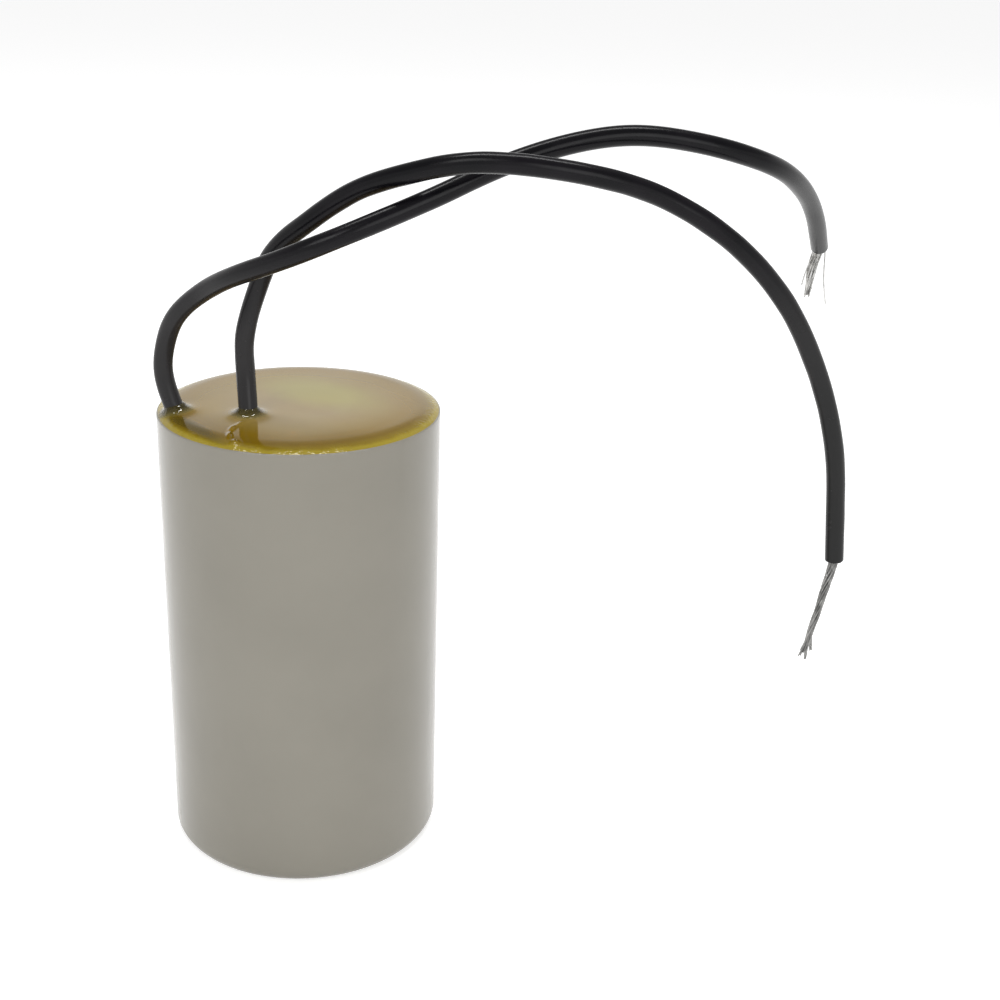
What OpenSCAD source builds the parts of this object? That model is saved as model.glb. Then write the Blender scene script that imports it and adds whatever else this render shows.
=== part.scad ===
// Motor run capacitor, potted type: a wound film element cast in clear amber resin in a moulded
// plastic can, with two flying leads that come up out of the resin.
// Z runs up the can and the origin is the centre of its base. The leads arch over towards +X.

/* [Can] */
// Outside diameter of the can
can_d = 42; // [35:0.5:52]
// Height of the can from its base to its rim
can_h = 70; // [58:1:90]
// Thickness of the can's side wall
can_wall = 1.2; // [0.9:0.1:2]
// Thickness of the can's floor
can_floor = 1.6; // [1.2:0.1:3]
// Radius of the rounded edge under the can
base_edge_r = 2; // [0.5:0.1:3]
// Radius of the small rounding on the outside of the rim
rim_edge_r = 0.2; // [0.1:0.05:0.4]
// Radius of the fillet inside, between floor and wall
inner_edge_r = 1; // [0.3:0.1:2]
// Diameter of the shallow recess under the can
recess_d = 30; // [16:1:30]
// Depth of that recess
recess_h = 0.4; // [0.2:0.1:0.8]
// Diameter of the moulding stub in the middle of the recess
gate_d = 2.4; // [1.5:0.1:4]
// Height of the moulding stub, less than the recess is deep
gate_h = 0.15; // [0.05:0.05:0.15]

/* [Resin] */
// Height of the resin's flat top above the rim
crown_h = 1; // [0.6:0.1:1.6]
// Width of the rounded shoulder between the flat top and the rim
shoulder_w = 3.6; // [2:0.1:5]
// Height that the resin creeps up each lead above the flat top
creep_h = 1.1; // [0.6:0.1:2]
// Thickness of the resin's edge at the top of that creep
creep_tip = 0.15; // [0.1:0.05:0.3]
// Depth of resin between the can's floor and the element
under_gap = 3.4; // [3.2:0.1:6]
// Depth of resin between the element and the rim
over_gap = 7.8; // [6.5:0.1:12]

/* [Element] */
// Outside diameter of the winding's core tube
core_od = 8; // [6:0.5:12]
// Bore of the core tube, which the resin fills
core_id = 5; // [3:0.5:5.5]
// Thickness of the tape wrapped round the winding
wrap_t = 0.3; // [0.1:0.05:0.6]
// Thickness of the sprayed zinc on each end of the winding
spray_t = 0.6; // [0.4:0.1:1]
// How far the sprayed zinc stops short of the winding's edge
spray_margin = 0.4; // [0.2:0.1:1.5]
// Radius of each dome of solder on the sprayed zinc
solder_r = 3; // [2.2:0.1:4]
// Height of each dome of solder
solder_h = 1.9; // [1.6:0.1:2.4]

/* [Leads] */
// Outside diameter of a lead's insulation
lead_od = 2.8; // [2.2:0.1:3.4]
// Diameter of a lead's stranded conductor
conductor_d = 1.2; // [0.8:0.1:1.5]
// Thickness of the tin on the conductor where it is soldered
tin_t = 0.05; // [0.03:0.01:0.1]
// Inside radius of the conductor's bend at the solder, plus half its thickness
bend_r = 1.8; // [1.5:0.1:2.2]
// Length of conductor that lies flat on the sprayed zinc
tail_l = 8; // [6:0.5:9]
// Bare conductor between that bend and the start of the insulation
bare_l = 2; // [1.5:0.1:3]
// Turn of lead A about the can's axis, from +X
lead_a_angle = 197.5; // [185:0.5:215]
// Place of lead B along X
lead_b_x = -6.5; // [-9:0.5:-5]
// Place of lead B along Y
lead_b_y = -7; // [-8:0.5:0]
// Diameter of a loose strand at a lead's bare end
strand_d = 0.3; // [0.25:0.05:0.4]

/* [Clearances] */
// Resin between lead A's insulation and the can's wall
lead_wall_gap = 0.05; // [0.02:0.01:0.3]
// Resin between the element and the can's wall, on the side away from lead A
element_wall_gap = 0.5; // [0.3:0.1:1.5]
// Resin between the element and lead A's insulation
element_lead_gap = 0.5; // [0.3:0.1:1.5]
// Solder between the sprayed zinc and the conductor that lies on it
solder_film = 0.1; // [0.05:0.01:0.2]

/* [Hidden] */

// Smoothness of everything that is turned or round
$fn = 96;
// Overlap that makes one cut pass right through another's face
cut = 0.5;
// How far the resin's creep starts under the plane that it spreads on, so that it meets it at an angle
creep_sink = 0.1;
// How far in the creep's cut edge leans over the rim, as a share of its height
creep_lean = 0.25;

// Can and resin
can_r = can_d / 2;
bore_r = can_r - can_wall;
resin_edge_r = can_r - rim_edge_r;
resin_top = can_h + crown_h;
shoulder_r = (pow(shoulder_w, 2) + pow(crown_h, 2)) / (2 * crown_h);
flat_r = resin_edge_r - shoulder_w;
creep_r = crown_h + creep_h;

// Lead A stands against the can's wall, and lead B where its own place says
lead_r = lead_od / 2;
tinned_d = conductor_d + 2 * tin_t;
lead_a_r = bore_r - lead_wall_gap - lead_r;
lead_a_xy = lead_a_r * [cos(lead_a_angle), sin(lead_a_angle)];
lead_b_xy = [lead_b_x, lead_b_y];

// The element is pushed away from lead A, which needs room beside it
element_far = bore_r - element_wall_gap;
element_near = lead_a_r - lead_r - element_lead_gap;
element_r = (element_far + element_near) / 2;
element_shift = (element_near - element_far) / 2;
element_xy = element_shift * [cos(lead_a_angle), sin(lead_a_angle)];
winding_r = element_r - wrap_t;
spray_r = winding_r - spray_margin;
lower_spray_z = can_floor + under_gap;
winding_z = lower_spray_z + spray_t;
upper_spray_z = can_h - over_gap - spray_t;
winding_h = upper_spray_z - winding_z;

// A conductor's tail lies flat along the sprayed zinc, on a film of solder
lower_tail_z = lower_spray_z - solder_film - tinned_d / 2;
upper_tail_z = upper_spray_z + spray_t + solder_film + tinned_d / 2;

// Points along each lead from where it leaves the resin to the end of its insulation, measured from
// the place where it leaves. Each is passed by the lead's centreline.
LEAD_A_ROUTE = [
    [0, 0, 0], [-1.5, 0.5, 6], [-1, 0.5, 9.5], [1, -1, 14], [5, -3.5, 18],
    [10, -8, 21.5], [17, -12.5, 25], [22.5, -14, 27.5], [31, -12.5, 31], [38.5, -9.5, 34],
    [46.5, -6.5, 37.5], [54, -4.5, 40], [62, -3, 41.5], [71, -1, 41], [79.5, 1.5, 39],
    [85.5, 6, 36.5], [89.5, 12, 33.5], [93, 19, 29.5], [96, 26.5, 24], [97.5, 31, 20.5]];
LEAD_B_ROUTE = [
    [0, 0, 0], [-0.5, 1.5, 6.5], [-0.5, 1.5, 10.5], [1.5, 1.5, 18], [4, 0, 23.5],
    [9, -3, 28.5], [16.5, -6.5, 34], [23.5, -10, 37], [31, -12.5, 39], [40, -13, 39],
    [49, -11.5, 37.5], [56.5, -9, 35], [64.5, -7, 30.5], [69.5, -5.5, 26.5], [76, -4, 19],
    [79.5, -2.5, 13], [83, -1, 5], [85.5, 0, -4], [86.5, 1, -10.5], [87.5, 1.5, -20.5]];
// Points along each bare end, past the insulation
LEAD_A_STRIP = [[97.5, 32, 19], [97, 32.5, 16]];
LEAD_B_STRIP = [[87, 1.5, -24.5], [86, 1, -29], [85, 0.5, -33]];
// Loose strands past each bare end: how many, how long and how far their tips spread
LEAD_A_FAN = [7, 5.5, 2];
LEAD_B_FAN = [3, 3, 0.9];

// Sides of every swept lead, and of every loose strand
LEAD_SIDES = 8;
STRAND_SIDES = 5;
// Points along each loose strand
STRAND_STEPS = 4;

// A lead's whole centreline: up from its tail, through the resin, along its route and its bare end
function lead_path(xy, tail_z, route, strip) = concat(
    [[xy[0], xy[1], tail_z + bend_r + bare_l / 2], [xy[0], xy[1], tail_z + bend_r + bare_l]],
    [for (p = concat(route, strip)) [xy[0], xy[1], resin_top] + p]);
lead_a_path = lead_path(lead_a_xy, lower_tail_z, LEAD_A_ROUTE, LEAD_A_STRIP);
lead_b_path = lead_path(lead_b_xy, upper_tail_z, LEAD_B_ROUTE, LEAD_B_STRIP);
// The insulation covers a path from its second point to the end of the route
INSULATION_START = 1;
lead_a_insulation_end = len(LEAD_A_ROUTE) + 1;
lead_b_insulation_end = len(LEAD_B_ROUTE) + 1;

// ---- Sweeps ----

function unit(v) = v / norm(v);

// Direction of a path at point i, from the point before it to the point after it
function heading(path, i) = unit(path[min(i + 1, len(path) - 1)] - path[max(i - 1, 0)]);

// Ring of points round a path at point i
function ring(path, i, r, sides) =
    let (t = heading(path, i), n = unit(cross([0, 1, 0], t)), b = cross(t, n))
    [for (k = [0 : sides - 1]) path[i] + r * (cos(k * 360 / sides) * n + sin(k * 360 / sides) * b)];

// Triangles of the wall between count rings of points, each ring with so many sides
function wall_faces(count, sides) = [
    for (i = [0 : count - 2], k = [0 : sides - 1])
        let (a = i * sides + k, b = i * sides + (k + 1) % sides, c = b + sides, d = a + sides)
        each [[a, d, b], [d, c, b]]];

// Solid rod of radius r along a path, from point first to point last
module sweep(path, r, first, last, sides = LEAD_SIDES) {
    count = last - first + 1;
    points = [for (i = [first : last]) each ring(path, i, r, sides)];
    start_cap = [for (k = [0 : sides - 1]) k];
    end_cap = [for (k = [sides - 1 : -1 : 0]) (count - 1) * sides + k];
    polyhedron(points = points, faces = concat([start_cap], wall_faces(count, sides), [end_cap]));
}

// Tube along a path, from point first to point last. Its bore's faces match those of a rod swept
// along the same path.
module sweep_tube(path, outer_r, inner_r, first, last, sides = LEAD_SIDES) {
    count = last - first + 1;
    points = concat([for (i = [first : last]) each ring(path, i, outer_r, sides)],
                    [for (i = [first : last]) each ring(path, i, inner_r, sides)]);
    outer = wall_faces(count, sides);
    bore = count * sides;
    inner = [for (f = outer) [f[2] + bore, f[1] + bore, f[0] + bore]];
    last_ring = (count - 1) * sides;
    ends = [for (k = [0 : sides - 1])
        let (a = k, b = (k + 1) % sides, c = a + last_ring, d = b + last_ring)
        each [[a, b, b + bore], [a, b + bore, a + bore], [d, c, c + bore], [d, c + bore, d + bore]]];
    polyhedron(points = points, faces = concat(outer, inner, ends));
}

// ---- Can ----

// Half section of a solid of revolution of radius r and height h with its lower edge rounded
module rounded_profile(r, h, edge_r) {
    translate([0, edge_r]) square([r, h - edge_r]);
    square([r - edge_r, h]);
    translate([r - edge_r, edge_r]) circle(r = edge_r);
}

// Half section of the can's outside: rounded at the base and, a little, at the rim
module can_profile() {
    rounded_profile(can_r, can_h - rim_edge_r, base_edge_r);
    square([can_r - rim_edge_r, can_h]);
    translate([can_r - rim_edge_r, can_h - rim_edge_r]) circle(r = rim_edge_r);
}

module case() {
    color([0.63, 0.61, 0.56])
    rotate_extrude()
    difference() {
        can_profile();
        translate([0, can_floor]) rounded_profile(bore_r, can_h, inner_edge_r);
        // Recess in the base, with the stub left where the plastic was let in
        difference() {
            translate([0, -cut]) square([recess_d / 2, recess_h + cut]);
            translate([0, recess_h - gate_h]) square([gate_d / 2, gate_h]);
        }
    }
}

// ---- Wound element ----

// Ring from one radius to another, round the element's axis
module element_ring(inner_r, outer_r, z, h) {
    translate([element_xy[0], element_xy[1], z])
    difference() {
        cylinder(r = outer_r, h = h);
        translate([0, 0, -cut]) cylinder(r = inner_r, h = h + 2 * cut);
    }
}

module film_winding() {
    color([0.80, 0.82, 0.84]) element_ring(core_od / 2, winding_r, winding_z, winding_h);
}

module winding_core() {
    color([0.92, 0.92, 0.90]) element_ring(core_id / 2, core_od / 2, winding_z, winding_h);
}

module winding_wrap() {
    color([0.88, 0.80, 0.50]) element_ring(winding_r, element_r, winding_z, winding_h);
}

module end_spray(z) {
    color([0.55, 0.56, 0.57]) element_ring(core_id / 2, spray_r, z, spray_t);
}

// ---- Leads inside the can ----

// Tinned end of a conductor: flat on the zinc, then bent up through a quarter turn. It stands under
// the lead's own axis, and its flat stretch runs off along +X.
module tinned_tail() {
    translate([bend_r, 0, 0]) rotate([0, 90, 0]) cylinder(d = tinned_d, h = tail_l - bend_r);
    translate([bend_r, 0, bend_r]) rotate([90, 0, 0]) rotate([0, 0, 180])
        rotate_extrude(angle = 90) translate([bend_r, 0]) circle(d = tinned_d);
    translate([0, 0, bend_r]) cylinder(d = tinned_d, h = bare_l * 0.7);
}

module lead_a_tail() {
    translate([lead_a_xy[0], lead_a_xy[1], lower_tail_z]) rotate(lead_a_angle + 180) tinned_tail();
}

module lead_b_tail() {
    translate([lead_b_xy[0], lead_b_xy[1], upper_tail_z]) tinned_tail();
}

// Dome of solder, flat side down, before a tail is taken out of it
module solder_dome() {
    dome_r = (pow(solder_r, 2) + pow(solder_h, 2)) / (2 * solder_h);
    intersection() {
        translate([0, 0, solder_h - dome_r]) sphere(r = dome_r);
        cylinder(r = solder_r + cut, h = solder_h + cut);
    }
}

// Distance from a lead's axis to the middle of its solder, along the tail
solder_reach = tail_l - solder_r / 2;

module lower_dome() {
    translate([lead_a_xy[0], lead_a_xy[1], lower_spray_z]) rotate(lead_a_angle + 180)
        translate([solder_reach, 0, 0]) rotate([180, 0, 0]) solder_dome();
}

module upper_dome() {
    translate([lead_b_xy[0] + solder_reach, lead_b_xy[1], upper_spray_z + spray_t]) solder_dome();
}

module lower_solder_joint() {
    color([0.78, 0.79, 0.80])
    difference() {
        lower_dome();
        lead_a_tail();
    }
}

module upper_solder_joint() {
    color([0.78, 0.79, 0.80])
    difference() {
        upper_dome();
        lead_b_tail();
    }
}

// ---- Leads ----

module insulation(path, end) {
    color([0.13, 0.13, 0.14])
    sweep_tube(path, lead_r, conductor_d / 2, INSULATION_START, end);
}

// Centreline of one loose strand, which starts inside the bundle's end and bends outwards
function strand_path(path, side, length, spread) =
    let (end = path[len(path) - 1], t = heading(path, len(path) - 1),
         n = unit(cross([0, 1, 0], t)), b = cross(t, n),
         out = cos(side) * n + sin(side) * b, root = (conductor_d - strand_d) / 2 * 0.8)
    [for (i = [0 : STRAND_STEPS - 1])
        let (s = i / (STRAND_STEPS - 1))
        end + (length * s - strand_d * (1 - s)) * t + (root + spread * s * s) * out];

// The strands differ in length and spread, the first the least and the last the most
module loose_strands(path, fan) {
    for (i = [0 : fan[0] - 1]) {
        share = 0.7 + 0.3 * (i + 1) / fan[0];
        strand = strand_path(path, i * 360 / fan[0], fan[1] * share, fan[2] * share);
        sweep(strand, strand_d / 2, 0, STRAND_STEPS - 1, STRAND_SIDES);
    }
}

module conductor(path, fan) {
    sweep(path, conductor_d / 2, 0, len(path) - 1);
    loose_strands(path, fan);
}

module lead_a_insulation() insulation(lead_a_path, lead_a_insulation_end);

module lead_b_insulation() insulation(lead_b_path, lead_b_insulation_end);

module lead_a_conductor() {
    color([0.72, 0.70, 0.67]) {
        lead_a_tail();
        conductor(lead_a_path, LEAD_A_FAN);
    }
}

module lead_b_conductor() {
    color([0.72, 0.70, 0.67]) {
        lead_b_tail();
        conductor(lead_b_path, LEAD_B_FAN);
    }
}

// ---- Resin ----

// Half section of the resin: what fills the can, and the crown that stands over its rim
module resin_profile() {
    translate([0, can_floor]) rounded_profile(bore_r, can_h - can_floor + crown_h / 2, inner_edge_r);
    intersection() {
        union() {
            square([flat_r, resin_top]);
            translate([flat_r, resin_top - shoulder_r]) circle(r = shoulder_r);
        }
        translate([0, can_h]) square([resin_edge_r, crown_h]);
    }
}

// Resin drawn up round a lead, hollow-sided. Over the crown's edge it leans in from the rim.
module creep(xy) {
    intersection() {
        translate([xy[0], xy[1], can_h - creep_sink])
        rotate_extrude()
        difference() {
            square([lead_r + creep_tip + creep_r, creep_r]);
            translate([lead_r + creep_tip + creep_r, creep_r]) circle(r = creep_r);
        }
        translate([0, 0, can_h])
            cylinder(r1 = resin_edge_r, r2 = resin_edge_r - creep_r * creep_lean, h = creep_r);
    }
}

module potting_resin() {
    color([0.72, 0.55, 0.26, 0.8])
    difference() {
        union() {
            rotate_extrude() resin_profile();
            creep(lead_a_xy);
            creep(lead_b_xy);
        }
        // The wound element, whose bore the resin fills
        element_ring(core_id / 2, element_r, winding_z, winding_h);
        element_ring(core_id / 2, spray_r, lower_spray_z, spray_t);
        element_ring(core_id / 2, spray_r, upper_spray_z, spray_t);
        lower_dome();
        upper_dome();
        // The leads, from their tails to above the creep
        lead_a_tail();
        lead_b_tail();
        sweep(lead_a_path, conductor_d / 2, 0, INSULATION_START);
        sweep(lead_b_path, conductor_d / 2, 0, INSULATION_START);
        sweep(lead_a_path, lead_r, INSULATION_START, INSULATION_START + 2);
        sweep(lead_b_path, lead_r, INSULATION_START, INSULATION_START + 2);
    }
}

case();
potting_resin();
film_winding();
winding_core();
winding_wrap();
end_spray(upper_spray_z);  // upper_end_spray
end_spray(lower_spray_z);  // lower_end_spray
upper_solder_joint();
lower_solder_joint();
lead_a_insulation();
lead_a_conductor();
lead_b_insulation();
lead_b_conductor();
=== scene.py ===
# Looks of a potted motor run capacitor: a beige moulded can filled with clear amber resin, and two
# black leads with stripped ends that arch out of it. Lengths are in metres unless a name ends in MM.

import math
import random

import bmesh
import bpy
import numpy as np
from mathutils import Matrix, Vector


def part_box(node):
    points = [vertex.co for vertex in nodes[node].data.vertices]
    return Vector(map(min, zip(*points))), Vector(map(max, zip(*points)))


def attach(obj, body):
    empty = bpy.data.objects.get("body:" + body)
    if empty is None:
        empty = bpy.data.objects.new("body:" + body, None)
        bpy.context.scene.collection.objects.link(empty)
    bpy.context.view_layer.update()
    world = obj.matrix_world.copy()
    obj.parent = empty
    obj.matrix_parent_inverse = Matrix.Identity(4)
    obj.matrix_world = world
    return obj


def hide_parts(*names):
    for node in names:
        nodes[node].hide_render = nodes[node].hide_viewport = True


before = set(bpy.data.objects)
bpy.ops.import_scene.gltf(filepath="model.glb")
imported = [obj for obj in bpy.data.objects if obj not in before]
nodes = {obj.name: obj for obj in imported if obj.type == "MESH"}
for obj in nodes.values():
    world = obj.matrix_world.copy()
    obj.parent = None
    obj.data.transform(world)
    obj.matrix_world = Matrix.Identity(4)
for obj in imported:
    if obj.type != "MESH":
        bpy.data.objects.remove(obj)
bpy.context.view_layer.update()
MM = 0.001
rng = random.Random(7)

# ---- Sizes, from the boxes of the frame's own nodes where they can be read ----

case_low, case_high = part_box("case")
CAN_R = (case_high.x - case_low.x) / 2
CAN_H = case_high.z
WALL = 1.2 * MM
FLOOR_T = 1.6 * MM
BASE_EDGE_R = 2 * MM
RIM_EDGE_R = 0.2 * MM
INSIDE_EDGE_R = 1 * MM
MOUTH_EDGE_R = 0.1 * MM
# Recess in the base, and in its middle the mark of the moulding gate
RECESS_R = 15 * MM
RECESS_H = 0.4 * MM
RECESS_EDGE_R = 0.15 * MM
GATE_R = 1.2 * MM
GATE_H = 0.15 * MM
GATE_EDGE_R = 0.1 * MM
CROWN_H = 1 * MM
SHOULDER_W = 3.6 * MM
CREEP_H = 1.1 * MM
RESIN_R = CAN_R - RIM_EDGE_R
RESIN_TOP = CAN_H + CROWN_H
LEAD_D = 2.8 * MM
CONDUCTOR_D = 1.2 * MM
LEAD_A_WALL_GAP = 0.05 * MM
LEAD_A_R = CAN_R - WALL - LEAD_A_WALL_GAP - LEAD_D / 2
LEAD_A_TURN = math.radians(197.5)
LEAD_A_EXIT = Vector((LEAD_A_R * math.cos(LEAD_A_TURN), LEAD_A_R * math.sin(LEAD_A_TURN), RESIN_TOP))
LEAD_B_EXIT = Vector((-6.5 * MM, -7 * MM, RESIN_TOP))

# Routes of the leads from where they leave the resin to the end of their insulation, in millimetres
# from that place
LEAD_A_ROUTE_MM = [
    (0, 0, 0), (-1.5, 0.5, 6), (-1, 0.5, 9.5), (1, -1, 14), (5, -3.5, 18),
    (10, -8, 21.5), (17, -12.5, 25), (22.5, -14, 27.5), (31, -12.5, 31), (38.5, -9.5, 34),
    (46.5, -6.5, 37.5), (54, -4.5, 40), (62, -3, 41.5), (71, -1, 41), (79.5, 1.5, 39),
    (85.5, 6, 36.5), (89.5, 12, 33.5), (93, 19, 29.5), (96, 26.5, 24), (97.5, 31, 20.5)]
LEAD_B_ROUTE_MM = [
    (0, 0, 0), (-0.5, 1.5, 6.5), (-0.5, 1.5, 10.5), (1.5, 1.5, 18), (4, 0, 23.5),
    (9, -3, 28.5), (16.5, -6.5, 34), (23.5, -10, 37), (31, -12.5, 39), (40, -13, 39),
    (49, -11.5, 37.5), (56.5, -9, 35), (64.5, -7, 30.5), (69.5, -5.5, 26.5), (76, -4, 19),
    (79.5, -2.5, 13), (83, -1, 5), (85.5, 0, -4), (86.5, 1, -10.5), (87.5, 1.5, -20.5)]
# Points along each stripped end, past its insulation
LEAD_A_STRIP_MM = [(97.5, 32, 19), (97, 32.5, 16), (96.7, 32.9, 11.4)]
LEAD_B_STRIP_MM = [(87, 1.5, -24.5), (86, 1, -29), (85, 0.5, -33), (84.6, 0.4, -36)]


# ---- Camera ----

# It looks straight along +Y, tipped down and rolled a little
CAMERA_PLACE = (0.0303515, -0.2159476, 0.1415599)
CAMERA_ELEVATION = math.radians(21.57)
CAMERA_ROLL = math.radians(1.92)
CAMERA_LENS = 54.72
CAMERA_SENSOR = 36


def make_camera():
    """The scene's camera."""
    data = bpy.data.cameras.new("camera")
    data.sensor_width = CAMERA_SENSOR
    data.lens = CAMERA_LENS
    data.clip_start, data.clip_end = 0.01, 20
    cam = bpy.data.objects.new("camera", data)
    bpy.context.scene.collection.objects.link(cam)
    down = Matrix.Rotation(math.pi / 2 - CAMERA_ELEVATION, 4, "X")
    cam.matrix_world = Matrix.Translation(CAMERA_PLACE) @ down @ Matrix.Rotation(CAMERA_ROLL, 4, "Z")
    bpy.context.scene.camera = cam


make_camera()


# ---- Paths and sweeps ----

def spline(points, step):
    """Points at most step apart on the natural cubic through the given points."""
    p = np.array(points, float)
    t = np.concatenate([[0], np.cumsum(np.linalg.norm(np.diff(p, axis=0), axis=1))])
    n, h = len(p), np.diff(t)
    a, b = np.eye(n), np.zeros((n, 3))
    for i in range(1, n - 1):
        a[i, i - 1], a[i, i], a[i, i + 1] = h[i - 1], 2 * (h[i - 1] + h[i]), h[i]
        b[i] = 6 * ((p[i + 1] - p[i]) / h[i] - (p[i] - p[i - 1]) / h[i - 1])
    m = np.linalg.solve(a, b)
    out = []
    for i in range(n - 1):
        for u in np.linspace(0, 1, max(2, math.ceil(h[i] / step) + 1))[:-1]:
            v = 1 - u
            bend = h[i] ** 2 / 6 * ((v ** 3 - v) * m[i] + (u ** 3 - u) * m[i + 1])
            out.append(v * p[i] + u * p[i + 1] + bend)
    out.append(p[-1])
    return [Vector(q) for q in out]


def frames(path):
    """For each point, its direction and two sideways directions that don't twist along the path."""
    out, side = [], None
    for i in range(len(path)):
        ahead = (path[min(i + 1, len(path) - 1)] - path[max(i - 1, 0)]).normalized()
        if side is None:
            side = ahead.orthogonal().normalized()
        side = (side - ahead * side.dot(ahead)).normalized()
        out.append((ahead, side, ahead.cross(side)))
    return out


def link(name, mesh):
    """Object of a mesh, on the part's one body."""
    obj = bpy.data.objects.new(name, mesh)
    bpy.context.scene.collection.objects.link(obj)
    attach(obj, "root")
    return obj


def smooth(mesh, angle):
    """Smooth shading, with edges sharper than the angle kept sharp."""
    mesh.polygons.foreach_set("use_smooth", [True] * len(mesh.polygons))
    mesh.set_sharp_from_angle(angle=angle)


def band(bm, a, b):
    """Ring of quads between two rings of vertices."""
    n = len(a)
    for k in range(n):
        j = (k + 1) % n
        bm.faces.new((a[k], a[j], b[j], b[k]))


def add_tube(bm, path, radius, sides, ends=True):
    """Round rod along a path. radius is a number or a function of share along it and turn round it."""
    size = radius if callable(radius) else (lambda share, turn: radius)
    rings = []
    for i, (p, (ahead, u, v)) in enumerate(zip(path, frames(path))):
        share = i / (len(path) - 1)
        ring = []
        for k in range(sides):
            turn = 2 * math.pi * k / sides
            ring.append(bm.verts.new(p + (u * math.cos(turn) + v * math.sin(turn)) * size(share, turn)))
        rings.append(ring)
    for lower, upper in zip(rings, rings[1:]):
        band(bm, lower, upper)
    if ends:
        bm.faces.new(rings[0][::-1])
        bm.faces.new(rings[-1])
    return rings


def lathe(bm, profile, sides):
    """Solid of revolution from (radius, height) points that start and end on the axis."""
    turns = [2 * math.pi * k / sides for k in range(sides)]
    rings = [[bm.verts.new((r * math.cos(t), r * math.sin(t), z)) for t in (turns if r > 0 else [0])]
             for r, z in profile]
    for a, b in zip(rings, rings[1:]):
        if len(a) == len(b):
            band(bm, a, b)
            continue
        for k in range(sides):
            j = (k + 1) % sides
            bm.faces.new((a[0], b[j], b[k]) if len(a) == 1 else (a[k], a[j], b[0]))


def arc(cx, cz, r, start, end, steps):
    """Points of an arc round (cx, cz), angles in degrees."""
    turns = [math.radians(start + (end - start) * i / steps) for i in range(steps + 1)]
    return [(cx + r * math.cos(t), cz + r * math.sin(t)) for t in turns]


def finished(bm, name, angle=math.radians(40)):
    """The bmesh as a smooth-shaded object."""
    bmesh.ops.recalc_face_normals(bm, faces=bm.faces)
    mesh = bpy.data.meshes.new(name)
    bm.to_mesh(mesh)
    bm.free()
    smooth(mesh, angle)
    return link(name, mesh)


# ---- Leads ----

INSULATION_SIDES = 28
INSULATION_STEP = 0.8 * MM
# Waves along and round the insulation
WAVES = 6
WAVE_TURN = 6.28
UNEVEN_H = 0.006 * MM
# The cut end: rounded edge, slightly ragged face, and the mouth of the bore
CUT_ROUND = 0.04 * MM
FACE_EDGE = 0.16 * MM
FACE_OUT = 0.08 * MM
RAGGED_MM = (-0.05, 0.06)
MOUTH_OUT = 0.06 * MM
MOUTH_FLARE = 1.08
MOUTH_RAGGED = 0.6
BORE_R = CONDUCTOR_D / 2
BORE_SEEN = 0.8 * MM


def insulation(name, node, route_mm, start):
    """Black sheath with a bore at its cut end, a little uneven along its length. Returns it and its path."""
    path = spline([start + Vector(p) * MM for p in route_mm], INSULATION_STEP)
    waves = [(rng.uniform(8, 30), rng.uniform(0, WAVE_TURN), rng.randint(0, 2)) for _ in range(WAVES)]
    last = path[-1]
    line = path[:-1] + [path[-2].lerp(last, s) for s in (0.5, 0.75, 0.9, 1)]

    def radius(share, turn):
        r = LEAD_D / 2
        for turns, phase, lobes in waves:
            r += UNEVEN_H * math.sin(turns * WAVE_TURN * share + phase + lobes * turn)
        return r

    bm = bmesh.new()
    n = INSULATION_SIDES
    rings = add_tube(bm, line, radius, n, ends=False)
    ahead = frames(line)[-1][0]
    ragged = [rng.uniform(*RAGGED_MM) * MM for _ in range(n)]
    face, mouth, deep = [], [], []
    for k, vert in enumerate(rings[-1]):
        out = (vert.co - last).normalized()
        vert.co -= out * CUT_ROUND
        face.append(bm.verts.new(last + out * (LEAD_D / 2 - FACE_EDGE) + ahead * (FACE_OUT + ragged[k])))
        mouth.append(bm.verts.new(last + out * BORE_R * MOUTH_FLARE
                                  + ahead * (MOUTH_OUT + ragged[k] * MOUTH_RAGGED)))
        deep.append(bm.verts.new(last + out * BORE_R - ahead * BORE_SEEN))
    for a, b in ((rings[-1], face), (face, mouth), (mouth, deep)):
        band(bm, a, b)
    bm.faces.new(deep)
    bm.faces.new(rings[0][::-1])
    obj = finished(bm, name, math.radians(50))
    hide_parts(node)
    return obj, path


STRAND_R = 0.11 * MM
STRAND_SIDES = 7
STRAND_STEP = 0.3 * MM
# How many strands lie in the middle, round it and outside, and how far from the bundle's axis
STRAND_LAYERS = ((1, 0), (6, 0.23 * MM), (9, 0.46 * MM))
# How much strands differ in place, length and sway
LAYER_RANGE = (0.9, 1.08)
REACH_RANGE = (0.94, 1.0)
SWAY = 0.7


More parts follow.
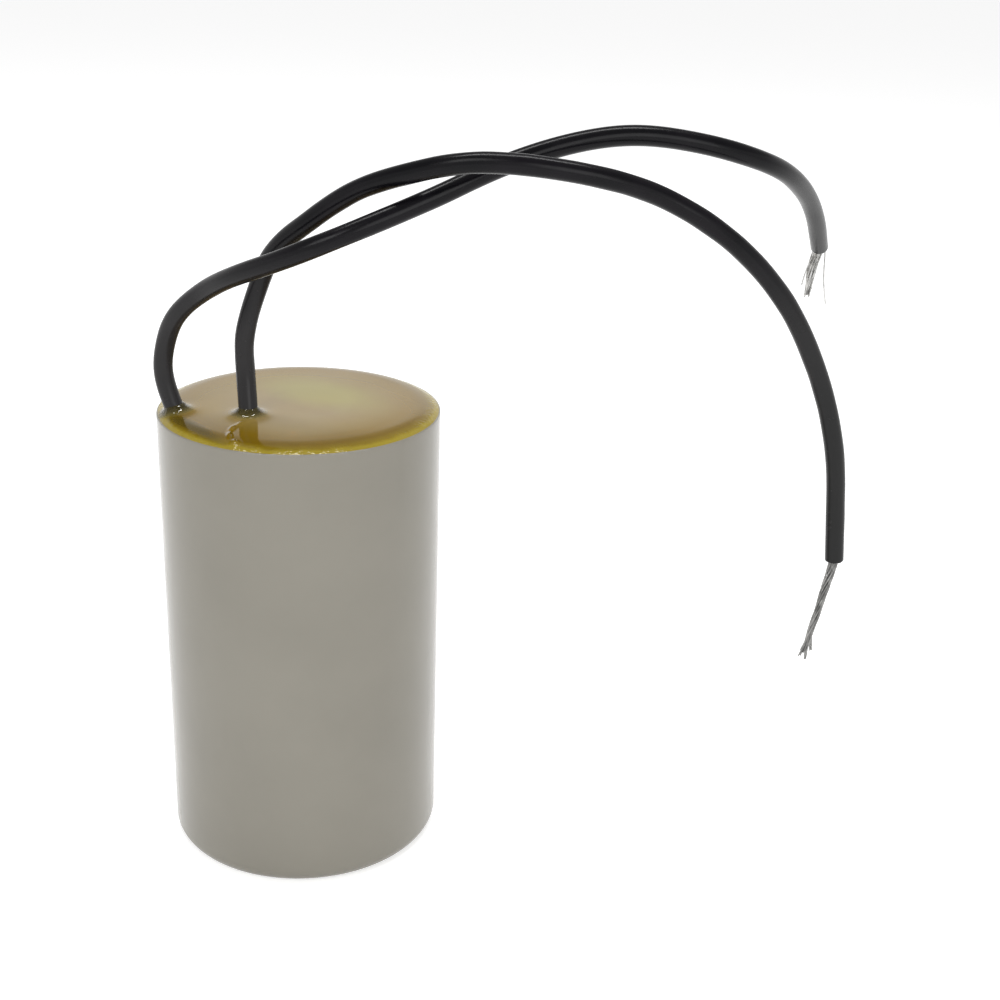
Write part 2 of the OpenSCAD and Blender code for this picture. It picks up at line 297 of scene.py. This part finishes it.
def strand_bundle(name, node, sheath, strip_mm, start, turns, width, loose, parting, bows):
    """Stripped end: fine strands laid along the strip's points, open from the sheath's mouth to the tip.
    width gives the bundle's spread along its length, loose how far strands stray, parting how late their
    tips part. bows give each strand a sideways place at its middle and at its tip in millimetres, and its
    length as a share of the bundle's."""
    centre = spline([sheath[-3], sheath[-1]] + [start + Vector(p) * MM for p in strip_mm], STRAND_STEP)
    directions = frames(centre)
    last = len(centre) - 1
    bm = bmesh.new()
    places = [(layer_r, 2 * math.pi * k / count) for count, layer_r in STRAND_LAYERS for k in range(count)]
    for i, (layer_r, place) in enumerate(places):
        r = layer_r * rng.uniform(*LAYER_RANGE)
        middle, tip, reach = bows[i % len(bows)]
        middle = Vector(middle) * MM + Vector([rng.uniform(-loose, loose) * MM for _ in range(3)])
        tip = Vector(tip) * MM + Vector([rng.uniform(-loose, loose) * MM for _ in range(3)]) * 2
        reach *= rng.uniform(*REACH_RANGE)
        sway = rng.uniform(-SWAY, SWAY)
        line = []
        for k in range(int(last * min(1, reach)) + 1):
            s = k / last
            turn = place + turns * 2 * math.pi * s + sway * s * s
            ahead, u, v = directions[k]
            out = u * math.cos(turn) + v * math.sin(turn)
            spread = width[0] * (1 - s) ** 2 + 2 * width[1] * s * (1 - s) + width[2] * s * s
            bow = 4 * s * (1 - s) * (1 - 0.5 * s)
            line.append(centre[k] + out * r * spread + middle * bow + tip * s ** parting)
        if reach > 1:
            line.append(line[-1] + (line[-1] - line[-2]).normalized() * (reach - 1) * last * STRAND_STEP)
        add_tube(bm, line, STRAND_R, STRAND_SIDES)
    obj = finished(bm, name)
    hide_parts(node)
    return obj


# Lead A's strands have sprung apart: two groups that part and meet again, and one strand on its own
SPRUNG_LEFT = ((-0.42, 0, 0), (-0.35, 0, 0.4), 0.98)
SPRUNG_RIGHT = ((0.28, 0, 0), (0.1, 0.1, 0), 1.0)
ALONE = ((0.5, 0, 0), (2.7, -0.5, 0.2), 1.12)
LEAD_A_BOWS = [
    SPRUNG_RIGHT, SPRUNG_LEFT, SPRUNG_RIGHT, ((-0.3, 0, 0), (-1.2, 0, 0.9), 0.9),
    SPRUNG_RIGHT, SPRUNG_LEFT, SPRUNG_RIGHT, ALONE,
    ((0, 0, 0), (0.3, 0, 0), 0.7), SPRUNG_LEFT, SPRUNG_RIGHT, ((0, 0, 0), (-0.2, 0, 0), 0.62),
    SPRUNG_LEFT, ((0.2, 0, 0), (0.7, 0, 0.3), 0.95), ((-0.55, 0, 0), (-0.3, 0, 0), 1.0), SPRUNG_RIGHT]
# Lead B's keep their twist and only part at the tip, into three
LEAD_B_BOWS = [((-0.3, 0, 0), (-0.75, 0, 0.1), 1.04), ((-0.3, 0, 0), (0.0, 0, 0), 1.05),
               ((-0.3, 0, 0), (0.95, 0, 0.2), 0.98)]
lead_a, path_a = insulation("lead_a_jacket", "lead_a_insulation", LEAD_A_ROUTE_MM, LEAD_A_EXIT)
lead_b, path_b = insulation("lead_b_jacket", "lead_b_insulation", LEAD_B_ROUTE_MM, LEAD_B_EXIT)
strands_a = strand_bundle("lead_a_strands", "lead_a_conductor", path_a, LEAD_A_STRIP_MM, LEAD_A_EXIT,
                          0.3, (1.15, 1.1, 0.7), 0.12, 1.6, LEAD_A_BOWS)
strands_b = strand_bundle("lead_b_strands", "lead_b_conductor", path_b, LEAD_B_STRIP_MM, LEAD_B_EXIT,
                          0.9, (1.6, 1.15, 0.6), 0.03, 7, LEAD_B_BOWS)


def buried_lead(name, exit_point, foot_z):
    """The part of a lead inside the resin, down towards its soldered end."""
    bm = bmesh.new()
    foot = Vector((exit_point.x, exit_point.y, foot_z))
    add_tube(bm, [exit_point, foot], LEAD_D / 2, INSULATION_SIDES)
    return finished(bm, name)


# ---- Case ----

LATHE_SIDES = 256
RING_INSET = 1 * MM
OUTSIDE_STEPS = (0.06, 0.2, 0.35, 0.5, 0.65, 0.8, 0.9, 0.96, 0.985)
INSIDE_STEPS = (0.8, 0.5, 0.2)


def make_case():
    """The can, turned from one outline: gate mark, recess, outside, rim, inside and floor."""
    inner_r, gate_z = CAN_R - WALL, RECESS_H - GATE_H
    gate_edge, mouth_edge = GATE_R - GATE_EDGE_R, inner_r + MOUTH_EDGE_R
    profile = [(0, gate_z), (gate_edge, gate_z)]
    profile += arc(gate_edge, gate_z + GATE_EDGE_R, GATE_EDGE_R, -90, 0, 3)
    profile += [(GATE_R + GATE_EDGE_R / 2, RECESS_H)]
    profile += [(RECESS_R - RECESS_EDGE_R, RECESS_H)]
    profile += arc(RECESS_R + RECESS_EDGE_R, RECESS_EDGE_R, RECESS_EDGE_R, 180, 270, 4)
    profile += [(CAN_R - BASE_EDGE_R - RING_INSET, 0)]
    profile += arc(CAN_R - BASE_EDGE_R, BASE_EDGE_R, BASE_EDGE_R, -90, 0, 14)
    profile += [(CAN_R, CAN_H * s) for s in OUTSIDE_STEPS]
    profile += arc(CAN_R - RIM_EDGE_R, CAN_H - RIM_EDGE_R, RIM_EDGE_R, 0, 90, 5)
    profile += [(mouth_edge, CAN_H)] + arc(mouth_edge, CAN_H - MOUTH_EDGE_R, MOUTH_EDGE_R, 90, 180, 3)[1:]
    profile += [(inner_r, CAN_H * s) for s in INSIDE_STEPS]
    profile += arc(inner_r - INSIDE_EDGE_R, FLOOR_T + INSIDE_EDGE_R, INSIDE_EDGE_R, 0, -90, 6)
    profile += [(inner_r * 0.5, FLOOR_T), (0, FLOOR_T)]
    bm = bmesh.new()
    lathe(bm, profile, LATHE_SIDES)
    obj = finished(bm, "can", math.radians(50))
    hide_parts("case")
    return obj


can = make_case()


# ---- Resin ----

RESIN_SIDES = 448
FLAT_RINGS = 112
SHOULDER_RINGS = 24
# How far the casting's mesh reaches into the can's wall and floor, so that no gap shows between them
INTO_WALL = 0.03 * MM
INTO_CAN = 0.02 * MM
# The middle is flat; a share of the fall to the rim starts early, the rest is the rounded shoulder
DOME_FROM = 7 * MM
DOME_SHARE = 0.36
WAVE_H = 0.02 * MM
WAVE_FADE = 2.5 * MM
COLLAR_REACH = 0.7 * MM
COLLAR_FADE = 1.2 * MM
# Height of a soldered tail above the zinc
TAIL_H = 3 * MM
# What is left of a burst bubble between lead B and the rim: half an oval of raised, lumpy lip. LIP_W is
# the lip's width as a share of the oval's size
LIP = Vector((-5.4 * MM, -14.4 * MM, 0))
LIP_HALF = (2.5 * MM, 4.2 * MM)
LIP_W = 0.12
LIP_H = 0.42 * MM


def resin_height(x, y):
    """Height of the cured surface: waves, rounded shoulder, a bubble's lip and a collar on each lead."""
    r = math.hypot(x, y)
    dome = max(0, (r - DOME_FROM) / (RESIN_R - DOME_FROM))
    shoulder = max(0, 1 - (RESIN_R - r) / SHOULDER_W)
    z = RESIN_TOP - CROWN_H * (DOME_SHARE * dome ** 2 + (1 - DOME_SHARE) * shoulder ** 2.4)
    inward = min(1, max(0, (RESIN_R - r) / WAVE_FADE))
    inward = inward * inward * (3 - 2 * inward)
    waves = (math.sin(x * 210 + 1.1) * math.sin(y * 170 + 0.4) + 0.6 * math.sin(x * 390 - y * 240 + 2.0))
    z += WAVE_H * waves * inward
    across, along = (x - LIP.x) / LIP_HALF[0], (y - LIP.y) / LIP_HALF[1]
    turn = math.atan2(along, across)
    lump = 0.65 + 0.35 * math.sin(turn * 9 + 1.2)
    ridge = math.exp(-((math.hypot(across, along) - 1) / LIP_W) ** 2)
    z += LIP_H * lump * ridge * max(0, -math.cos(turn - 0.25))
    for lead in (LEAD_A_EXIT, LEAD_B_EXIT):
        gap = max(0, math.hypot(x - lead.x, y - lead.y) - LEAD_D / 2)
        fade = min(1, max(0, (RESIN_R - r) / COLLAR_FADE))
        z += CREEP_H * math.exp(-gap / COLLAR_REACH) * fade
    return z


def make_resin():
    """The casting: its surface on a polar grid, then down the wall to the can's floor."""
    bm = bmesh.new()
    flat = RESIN_R - SHOULDER_W
    radii = [flat * i / FLAT_RINGS for i in range(1, FLAT_RINGS + 1)]
    radii += [flat + SHOULDER_W * i / SHOULDER_RINGS for i in range(1, SHOULDER_RINGS + 1)]
    n = RESIN_SIDES
    turns = [2 * math.pi * k / n for k in range(n)]

    def ring(r, z=None):
        """Ring of vertices at radius r, at height z or else on the surface."""
        places = [(r * math.cos(t), r * math.sin(t)) for t in turns]
        return [bm.verts.new((x, y, resin_height(x, y) if z is None else z)) for x, y in places]

    centre = bm.verts.new((0, 0, resin_height(0, 0)))
    rings = [ring(r) for r in radii]
    inner_r, rim_z = CAN_R - WALL + INTO_WALL, CAN_H - INTO_CAN
    rings += [ring(RESIN_R, rim_z), ring(inner_r, rim_z), ring(inner_r, FLOOR_T + INSIDE_EDGE_R),
              ring(inner_r - INSIDE_EDGE_R, FLOOR_T - INTO_CAN)]
    for k in range(n):
        bm.faces.new((centre, rings[0][k], rings[0][(k + 1) % n]))
    for a, b in zip(rings, rings[1:]):
        for k in range(n):
            j = (k + 1) % n
            bm.faces.new((a[k], b[k], b[j], a[j]))
    bm.faces.new(rings[-1])
    obj = finished(bm, "resin", math.radians(60))
    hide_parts("potting_resin")
    return obj


resin = make_resin()
root_a = buried_lead("lead_a_root", LEAD_A_EXIT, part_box("lower_end_spray")[0].z + TAIL_H)
root_b = buried_lead("lead_b_root", LEAD_B_EXIT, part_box("upper_end_spray")[1].z + TAIL_H)


# ---- Materials ----

def material(name, **values):
    """New material, with values set on its shader's own sockets."""
    m = bpy.data.materials.new(name)
    m.use_nodes = True
    shader = m.node_tree.nodes["Principled BSDF"]
    for key, value in values.items():
        shader.inputs[key.replace("_", " ")].default_value = value
    return m, m.node_tree, shader


def node(tree, kind, **values):
    """New node, with each value set on its property or else on its socket of that name."""
    n = tree.nodes.new(kind)
    for key, value in values.items():
        if hasattr(n, key):
            setattr(n, key, value)
        else:
            n.inputs[key.replace("_", " ")].default_value = value
    return n


def own_place(tree):
    """Socket with a point's place in the object's own coordinates."""
    return node(tree, "ShaderNodeTexCoord").outputs["Object"]


def noise(tree, scale, detail):
    """Noise over the object's own coordinates."""
    n = node(tree, "ShaderNodeTexNoise", Scale=scale, Detail=detail)
    tree.links.new(own_place(tree), n.inputs["Vector"])
    return n.outputs["Fac"]


def maths(tree, operation, *inputs, kind="ShaderNodeMath", out="Value"):
    """Result of a maths node whose inputs are sockets or plain values."""
    n = node(tree, kind, operation=operation)
    for socket, value in zip(n.inputs, inputs):
        if isinstance(value, bpy.types.NodeSocket):
            tree.links.new(value, socket)
        else:
            socket.default_value = value
    return n.outputs[out]


def vector_maths(tree, operation, *inputs, out="Value"):
    """The same with vectors; out is Vector where the result is one."""
    return maths(tree, operation, *inputs, kind="ShaderNodeVectorMath", out=out)


def remap(tree, source, span, to, curve="LINEAR"):
    """A grey socket taken from one span of values to another, and held at the ends."""
    n = node(tree, "ShaderNodeMapRange", interpolation_type=curve,
             From_Min=span[0], From_Max=span[1], To_Min=to[0], To_Max=to[1])
    tree.links.new(source, n.inputs["Value"])
    return n.outputs["Result"]


def ramp(tree, source, stops):
    """Colour ramp through (place, grey or colour) stops."""
    r = tree.nodes.new("ShaderNodeValToRGB")
    points = r.color_ramp.elements
    while len(points) < len(stops):
        points.new(0.5)
    for point, (place, value) in zip(points, stops):
        point.position = place
        point.color = (value, value, value, 1) if isinstance(value, float) else (*value, 1)
    tree.links.new(source, r.inputs["Fac"])
    return r.outputs["Color"]


def bump(tree, shader, source, height, strength):
    """Fine relief of a height, from a grey socket."""
    b = node(tree, "ShaderNodeBump", Strength=strength, Distance=height)
    tree.links.new(source, b.inputs["Height"])
    tree.links.new(b.outputs["Normal"], shader.inputs["Normal"])


def give(obj, m):
    """Make m the object's only material."""
    obj.data.materials.clear()
    obj.data.materials.append(m)


def case_plastic():
    """Beige-grey moulded plastic with a soft gloss."""
    m, tree, shader = material("case_plastic", IOR=1.5)
    mottle = ramp(tree, noise(tree, 60, 4), [(0.35, (0.247, 0.232, 0.192)), (0.65, (0.263, 0.247, 0.205))])
    tree.links.new(mottle, shader.inputs["Base Color"])
    tree.links.new(ramp(tree, noise(tree, 140, 5), [(0.3, 0.15), (0.7, 0.21)]), shader.inputs["Roughness"])
    bump(tree, shader, noise(tree, 900, 2), 0.01 * MM, 0.15)
    return m


def blob(tree, centre, size, turn, wobble):
    """1 inside a soft oval patch round centre, 0 well outside it, with an uneven edge."""
    place = node(tree, "ShaderNodeMapping", vector_type="TEXTURE",
                 Location=centre, Rotation=(0, 0, turn), Scale=size)
    tree.links.new(own_place(tree), place.inputs["Vector"])
    far = vector_maths(tree, "LENGTH", place.outputs["Vector"])
    uneven = maths(tree, "MULTIPLY_ADD", noise(tree, 130, 3), wobble, far)
    return remap(tree, uneven, (0.4 + wobble / 2, 1.3 + wobble / 2), (1.0, 0.0), "SMOOTHSTEP")


def mixed(tree, share, first, second):
    """Mix of two colours, each a socket or a tuple, by a share socket."""
    m = node(tree, "ShaderNodeMix", data_type="RGBA")
    tree.links.new(share, m.inputs[0])
    for value, socket in ((first, m.inputs[6]), (second, m.inputs[7])):
        if isinstance(value, tuple):
            socket.default_value = (*value, 1)
        else:
            tree.links.new(value, socket)
    return m.outputs[2]


def ring_share(tree, wobble, scale):
    """Distance from the can's axis as a share of its radius, made a little uneven."""
    flat = vector_maths(tree, "MULTIPLY", own_place(tree), (1 / CAN_R, 1 / CAN_R, 0), out="Vector")
    shift = maths(tree, "SUBTRACT", noise(tree, scale, 3), 0.5)
    return maths(tree, "MULTIPLY_ADD", shift, wobble, vector_maths(tree, "LENGTH", flat))


def near(tree, place, reach, soft):
    """1 within reach of an upright line at place, 0 beyond reach plus soft."""
    flat = vector_maths(tree, "MULTIPLY", own_place(tree), (1, 1, 0), out="Vector")
    far = vector_maths(tree, "DISTANCE", flat, (place.x, place.y, 0))
    return remap(tree, far, (reach, reach + soft), (1.0, 0.0), "SMOOTHSTEP")


def larger(tree, sockets):
    """The largest of some grey sockets."""
    best = sockets[0]
    for other in sockets[1:]:
        best = maths(tree, "MAXIMUM", best, other)
    return best


# Yellower patch in the middle of the resin, and a painted dark reflection of lead A along the line between
# lead A and the lip
PATCH = ((2.0 * MM, 5.5 * MM, RESIN_TOP), (13.0 * MM, 6.5 * MM, 50 * MM), math.radians(-38), 0.6)
PAINTED_LEAD_REFLECTION = ((-13.7 * MM, -12.2 * MM, RESIN_TOP), (7.5 * MM, 1.2 * MM, 50 * MM), math.radians(-48), 0.3)
# How far round a lead the resin is clear, and over what width that fades
COLLAR_CLEAR = (1.6 * MM, 1.6 * MM)


def amber_resin():
    """Half clear amber: browner towards the edge as a painted dark reflection, with a painted dark line and
    painted golden light through the thin rim, and clear round the leads.
    """
    m, tree, shader = material("amber_resin", IOR=1.45)
    body = ramp(tree, noise(tree, 70, 4), [(0.35, (0.39, 0.27, 0.095)), (0.65, (0.44, 0.32, 0.12))])
    body = mixed(tree, blob(tree, *PATCH), body, (0.48, 0.405, 0.10))
    ring = ring_share(tree, 0.05, 400)
    # Painted dark reflection: the outer ring turns browner, darkest at the shoulder's start, then painted
    # golden light through the thin rim.
    painted_ring_share = ramp(tree, ring, [(0.35, 0.0), (0.75, 1.0)])
    edge = ramp(tree, ring, [
        (0.60, (0.37, 0.24, 0.02)), (0.78, (0.34, 0.205, 0.008)), (0.89, (0.28, 0.17, 0.005)),
        (0.94, (0.36, 0.25, 0.012)), (0.965, (0.50, 0.38, 0.03)), (1.0, (0.46, 0.35, 0.05))])
    body = mixed(tree, painted_ring_share, body, edge)
    # Painted dark reflection of lead A in the shoulder, from its foot towards the lip.
    body = mixed(tree, blob(tree, *PAINTED_LEAD_REFLECTION), body, (0.17, 0.115, 0.01))
    collars = larger(tree, [near(tree, lead, *COLLAR_CLEAR) for lead in (LEAD_A_EXIT, LEAD_B_EXIT)])
    body = mixed(tree, collars, body, (0.52, 0.42, 0.12))
    tree.links.new(body, shader.inputs["Base Color"])
    clear = remap(tree, collars, (0.0, 1.0), (0.35, 0.92))
    tree.links.new(clear, shader.inputs["Transmission Weight"])
    tree.links.new(ramp(tree, noise(tree, 90, 2), [(0.3, 0.03), (0.7, 0.08)]), shader.inputs["Roughness"])
    at_rim = ramp(tree, ring, [(0.90, 0.0), (0.95, 1.0)])
    bump(tree, shader, maths(tree, "MULTIPLY", noise(tree, 2200, 1), at_rim), 0.09 * MM, 0.8)
    out = tree.nodes["Material Output"]
    volume = node(tree, "ShaderNodeVolumeAbsorption", Density=600.0)
    volume.inputs["Color"].default_value = (0.94, 0.82, 0.0, 1)
    tree.links.new(volume.outputs["Volume"], out.inputs["Volume"])
    return m


# Heights between which the insulation turns from a greyer painted sheen to black, and the places along X
# between which it turns to the painted highlight grey of its far end
SHEEN_GREY_Z = (84 * MM, 100 * MM)
FAR_HIGHLIGHT_X = (66 * MM, 78 * MM)


def black_pvc(name, far_highlight_grey):
    """Insulation: black on the arch, a little greyer low down as a painted sheen, and a paler grey near the
    far end as a painted highlight.
    """
    m, tree, shader = material(name, IOR=1.45, Specular_IOR_Level=0.17)
    split = node(tree, "ShaderNodeSeparateXYZ")
    tree.links.new(own_place(tree), split.inputs[0])
    low = remap(tree, split.outputs["Z"], SHEEN_GREY_Z, (1.0, 0.0))
    far = remap(tree, split.outputs["X"], FAR_HIGHLIGHT_X, (0.0, 1.0))
    tone = ramp(tree, noise(tree, 160, 4), [(0.35, (0.003, 0.003, 0.004)), (0.7, (0.007, 0.006, 0.008))])
    # Painted sheen: greyer on the low, upright parts.
    tone = mixed(tree, low, tone, (0.028, 0.027, 0.028))
    # Painted highlight: paler grey towards the far end.
    tone = mixed(tree, far, tone, (far_highlight_grey, far_highlight_grey, far_highlight_grey))
    tree.links.new(tone, shader.inputs["Base Color"])
    tree.links.new(ramp(tree, noise(tree, 700, 4), [(0.3, 0.2), (0.7, 0.28)]), shader.inputs["Roughness"])
    bump(tree, shader, noise(tree, 1500, 3), 0.01 * MM, 0.25)
    return m


def tinned_copper(name, low, high):
    """Dull tinned wire, mottled between two levels of grey."""
    m, tree, shader = material(name, Metallic=1.0)
    warm = (1, 0.99, 0.96)
    tone = ramp(tree, noise(tree, 900, 3), [(0.35, tuple(low * c for c in warm)),
                                            (0.65, tuple(high * c for c in warm))])
    tree.links.new(tone, shader.inputs["Base Color"])
    tree.links.new(ramp(tree, noise(tree, 2500, 2), [(0.3, 0.3), (0.7, 0.5)]), shader.inputs["Roughness"])
    return m


def plain(name, low, high, rough, metallic=0.0, scale=400.0):
    """Material with a mottled tone between two colours, for what lies under the resin."""
    m, tree, shader = material(name, Metallic=metallic)
    tone = ramp(tree, noise(tree, scale, 4), [(0.35, low), (0.65, high)])
    tree.links.new(tone, shader.inputs["Base Color"])
    dull = ramp(tree, noise(tree, scale, 3), [(0.3, rough - 0.06), (0.7, rough + 0.06)])
    tree.links.new(dull, shader.inputs["Roughness"])
    bump(tree, shader, noise(tree, scale * 2, 3), 0.03 * MM, 0.5)
    return m


give(can, case_plastic())
give(resin, amber_resin())
# The numbers are the painted highlight grey of each lead's far end.
pvc_a, pvc_b = black_pvc("insulation_a", 0.05), black_pvc("insulation_b", 0.02)
for piece, pvc in ((lead_a, pvc_a), (root_a, pvc_a), (lead_b, pvc_b), (root_b, pvc_b)):
    give(piece, pvc)
# Painted light and shade: the same tinned wire is painted paler on lead A and darker on lead B.
give(strands_a, tinned_copper("tinned_copper_a", 0.36, 0.62))
give(strands_b, tinned_copper("tinned_copper_b", 0.18, 0.38))
give(nodes["film_winding"], plain("metallised_film", (0.34, 0.35, 0.37), (0.5, 0.51, 0.53), 0.35, 0.8))
give(nodes["winding_core"], plain("core_plastic", (0.7, 0.7, 0.68), (0.8, 0.8, 0.78), 0.5))
give(nodes["winding_wrap"], plain("wrap_tape", (0.62, 0.5, 0.14), (0.74, 0.62, 0.22), 0.35))
zinc = plain("sprayed_zinc", (0.3, 0.31, 0.31), (0.46, 0.47, 0.47), 0.75, 0.0, 1400.0)
give(nodes["upper_end_spray"], zinc)
give(nodes["lower_end_spray"], zinc)
solder = plain("solder", (0.5, 0.5, 0.5), (0.62, 0.62, 0.62), 0.35, 1.0)
give(nodes["upper_solder_joint"], solder)
give(nodes["lower_solder_joint"], solder)


# ---- Studio ----

FLOOR_HALF = 4
FLOOR_GAP = 0.05 * MM
FLOOR_GLOW = 0.58


def make_stage():
    """A pale floor that looks white to the camera and to mirrors, and keeps the part's shadow."""
    bm = bmesh.new()
    bmesh.ops.create_grid(bm, x_segments=1, y_segments=1, size=FLOOR_HALF)
    mesh = bpy.data.meshes.new("floor")
    bm.to_mesh(mesh)
    bm.free()
    floor = bpy.data.objects.new("floor", mesh)
    floor.location.z = -FLOOR_GAP
    bpy.context.scene.collection.objects.link(floor)
    m = bpy.data.materials.new("floor")
    m.use_nodes = True
    tree = m.node_tree
    tree.nodes.remove(tree.nodes["Principled BSDF"])
    diffuse = node(tree, "ShaderNodeBsdfDiffuse")
    diffuse.inputs["Color"].default_value = (0.8, 0.8, 0.8, 1)
    glow = node(tree, "ShaderNodeEmission")
    glow.inputs["Color"].default_value = (1, 1, 1, 1)
    path = node(tree, "ShaderNodeLightPath")
    seen = larger(tree, [path.outputs[f"Is {kind} Ray"] for kind in ("Camera", "Glossy", "Transmission")])
    tree.links.new(maths(tree, "MULTIPLY", seen, FLOOR_GLOW), glow.inputs["Strength"])
    both = node(tree, "ShaderNodeAddShader")
    tree.links.new(diffuse.outputs[0], both.inputs[0])
    tree.links.new(glow.outputs[0], both.inputs[1])
    tree.links.new(both.outputs[0], tree.nodes["Material Output"].inputs["Surface"])
    mesh.materials.append(m)


def make_world():
    """A pale surround, brightest round the horizon; the camera sees plain white."""
    world = bpy.data.worlds.new("studio")
    bpy.context.scene.world = world
    world.use_nodes = True
    tree = world.node_tree
    back = tree.nodes["Background"]
    where = node(tree, "ShaderNodeTexCoord")
    split = node(tree, "ShaderNodeSeparateXYZ")
    tree.links.new(where.outputs["Generated"], split.inputs[0])
    sky = ramp(tree, split.outputs["Z"], [
        (0.0, 1.0), (0.32, 0.97), (0.37, 0.83), (0.41, 0.48), (0.48, 0.36), (1.0, 0.32)])
    path = node(tree, "ShaderNodeLightPath")
    tree.links.new(mixed(tree, path.outputs["Is Camera Ray"], sky, (1.0, 1.0, 1.0)), back.inputs["Color"])


def lamp(name, place, aim, size, power):
    """Rectangular soft light."""
    data = bpy.data.lights.new(name, "AREA")
    data.shape = "RECTANGLE"
    data.size, data.size_y = size
    data.energy = power
    obj = bpy.data.objects.new(name, data)
    obj.location = place
    obj.rotation_mode = "QUATERNION"
    obj.rotation_quaternion = (Vector(aim) - Vector(place)).to_track_quat("-Z", "Y")
    bpy.context.scene.collection.objects.link(obj)


make_stage()
make_world()
lamp("top", (0.02, 0.14, 0.8), (0.02, 0, 0.07), (0.6, 0.12), 3.2)
lamp("key", (-0.3, -0.55, 0.6), (0, 0, 0.04), (0.4, 0.3), 1.7)
lamp("fill", (0.35, -0.6, 0.3), (0.02, 0, 0.04), (0.4, 0.4), 1.2)
bpy.context.scene.view_settings.view_transform = "Standard"
